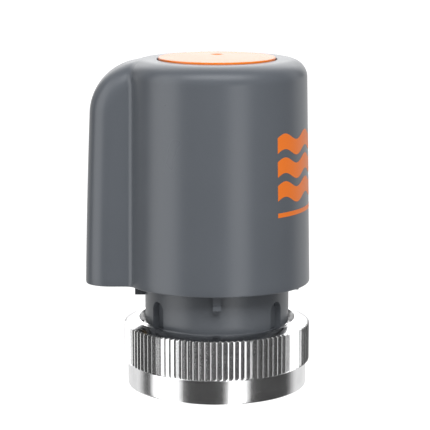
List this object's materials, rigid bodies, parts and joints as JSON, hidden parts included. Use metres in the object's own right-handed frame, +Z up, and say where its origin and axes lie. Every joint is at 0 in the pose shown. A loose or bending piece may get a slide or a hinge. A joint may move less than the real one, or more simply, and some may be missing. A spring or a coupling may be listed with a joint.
{
  "type": "motorised valve actuator head",
  "caption": "Slim cylindrical valve actuator head with a side fin, a rising indicator disc on top and a knurled union nut; a geared motor lifts its plunger.",
  "frame": {"origin": "centre of the plunger's pressing face at rest, on the spindle's axis", "axes": "+Z up along the spindle from the valve to the indicator disc, -X towards the fin, -Y the front"},
  "size_m": [0.0461, 0.0382, 0.0676],
  "materials": {
    "grey_plastic": "fine-textured satin, moulded",
    "orange_plastic": "satin gloss, moulded",
    "black_plastic": "moulded",
    "white_plastic": "natural acetal, moulded",
    "nickel": "nickel-plated brass, turned and knurled",
    "steel": "bright machined",
    "brass": "machined",
    "rubber": "moulded seal",
    "copper": "enamelled winding wire",
    "board_green": "lacquered laminate",
    "lead_sheath": "insulated wire"
  },
  "bodies": {
    "housing": {"housing_shell": "grey_plastic", "base_housing": "grey_plastic", "base_seal": "rubber", "retaining_ring": "steel", "guide_bush": "brass", "plunger_seal": "rubber", "thrust_washer": "steel", "gear_axle_1": "steel", "gear_axle_2": "steel", "gear_plate_lower": "black_plastic", "gear_plate_upper": "black_plastic", "plate_pillar_1": "steel", "plate_pillar_2": "steel", "plate_pillar_3": "steel", "plate_screw_1": "steel", "plate_screw_2": "steel", "plate_screw_3": "steel", "motor_can": "steel", "motor_coil": "copper", "motor_end_cap": "white_plastic", "circuit_board": "board_green", "capacitor": "black_plastic", "controller_chip": "black_plastic", "voltage_regulator": "black_plastic", "cable_socket": "black_plastic", "contact_pin_1": "brass", "contact_pin_2": "brass", "contact_pin_3": "brass", "motor_lead_1": "lead_sheath", "motor_lead_2": "lead_sheath"},
    "union_nut": {"union_nut": "nickel"},
    "spindle": {"spindle": "steel", "cross_pin": "steel", "indicator_disc": "orange_plastic", "overload_spring": "steel"},
    "plunger": {"plunger": "steel"},
    "output_gear": {"output_gear": "white_plastic"},
    "stage_gear_1": {"stage_gear_1": "white_plastic"},
    "stage_gear_2": {"stage_gear_2": "white_plastic"},
    "motor_rotor": {"motor_rotor": "black_plastic", "motor_shaft": "steel", "motor_pinion": "brass"}
  },
  "joints": [
    {"name": "spindle_lift", "type": "slide", "parent": "housing", "child": "spindle", "axis": [0, 0, 1], "range_m": [0, 0.004]},
    {"name": "motor_spin", "type": "hinge", "parent": "housing", "child": "motor_rotor", "pos_m": [0.0047, -0.00814, 0], "axis": [0, 0, 1], "range_deg": [0, 26624.03]},
    {"name": "stage_gear_1_spin", "type": "hinge", "parent": "housing", "child": "stage_gear_1", "pos_m": [0.0098, -0.00139, 0], "axis": [0, 0, 1], "range_deg": [-8320.01, 0]},
    {"name": "stage_gear_2_spin", "type": "hinge", "parent": "housing", "child": "stage_gear_2", "pos_m": [0.00871, 0.00579, 0], "axis": [0, 0, 1], "range_deg": [0, 3200]},
    {"name": "output_gear_spin", "type": "hinge", "parent": "housing", "child": "output_gear", "pos_m": [0, 0, 0], "axis": [0, 0, 1], "range_deg": [-960, 0]},
    {"name": "plunger_give", "type": "slide", "parent": "spindle", "child": "plunger", "axis": [0, 0, 1], "range_m": [0, 0.001], "deforming": ["overload_spring"]},
    {"name": "union_nut_spin", "type": "hinge", "parent": "housing", "child": "union_nut", "pos_m": [0, 0, 0], "axis": [0, 0, 1], "continuous": true}
  ],
  "couplings": [
    {"joint": "motor_spin", "follows": "spindle_lift", "rad_per_m": 116170},
    {"joint": "stage_gear_1_spin", "follows": "spindle_lift", "rad_per_m": -36303},
    {"joint": "stage_gear_2_spin", "follows": "spindle_lift", "rad_per_m": 13963},
    {"joint": "output_gear_spin", "follows": "spindle_lift", "rad_per_m": -4188.8}
  ]
}
